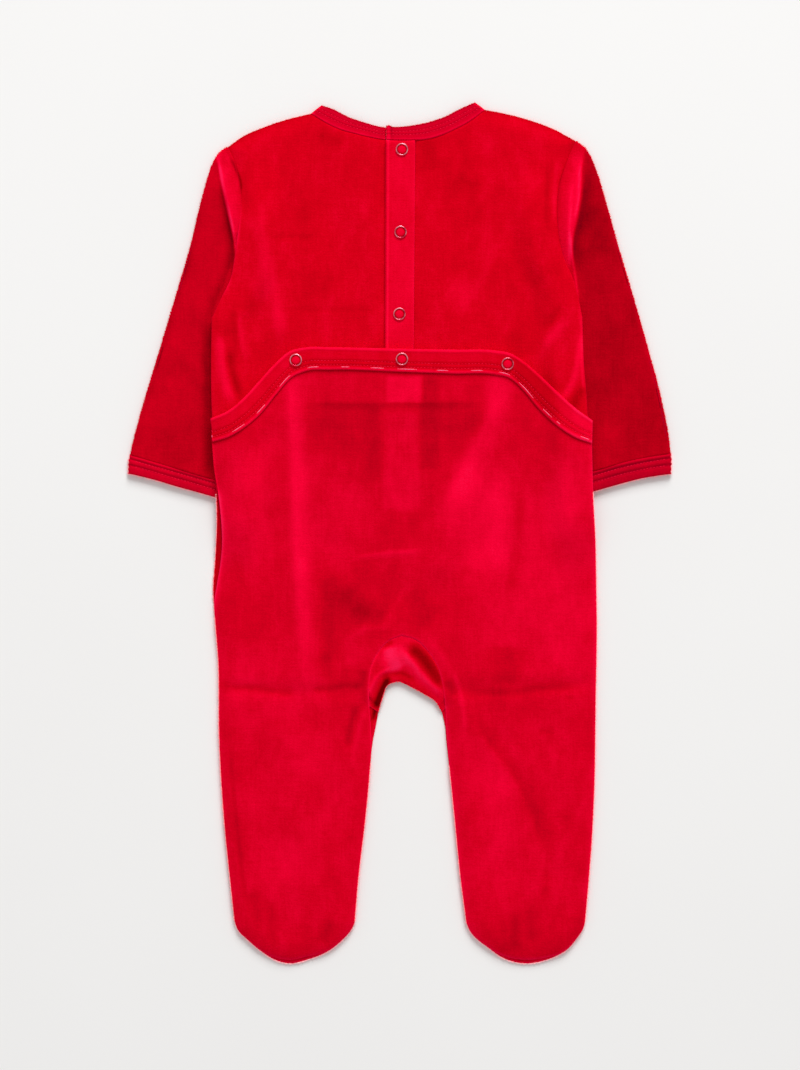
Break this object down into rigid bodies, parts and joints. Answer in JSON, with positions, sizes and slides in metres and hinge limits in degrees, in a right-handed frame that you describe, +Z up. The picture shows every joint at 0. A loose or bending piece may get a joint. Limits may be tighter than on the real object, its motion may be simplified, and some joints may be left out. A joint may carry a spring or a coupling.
{
  "type": "footed onesie pajama",
  "caption": "Baby's footed sleepsuit in velour, laid flat back side up: long sleeves, round bound neck, snap band down the back and a drop seat with a bound curved top.",
  "frame": {"origin": "on the surface the garment lies on, under the middle of its outline box", "axes": "+X to the wearer's right, which is the right of the garment seen from its back; +Y to the neck, along the garment; +Z up, out of the garment's back"},
  "size_m": [0.3919, 0.6209, 0.0142],
  "materials": {
    "velour": "cotton velour with a short soft pile, matt with a sheen at grazing angles",
    "snap_metal": "bright nickel-coloured ring, rounded and polished"
  },
  "bodies": {
    "root": {"front_panel": "velour", "foot_top_left": "velour", "foot_top_right": "velour", "back_left": "velour", "back_right": "velour", "back_placket": "velour", "neck_band_left": "velour", "neck_band_right": "velour", "neck_band_front": "velour", "seat_panel": "velour", "seat_facing": "velour", "crotch_gusset": "velour", "sleeve_left": "velour", "sleeve_right": "velour", "cuff_left": "velour", "cuff_right": "velour", "snap_neck": "snap_metal", "snap_back_upper": "snap_metal", "snap_back_lower": "snap_metal", "snap_seat_left": "snap_metal", "snap_seat_middle": "snap_metal", "snap_seat_right": "snap_metal"}
  },
  "joints": []
}
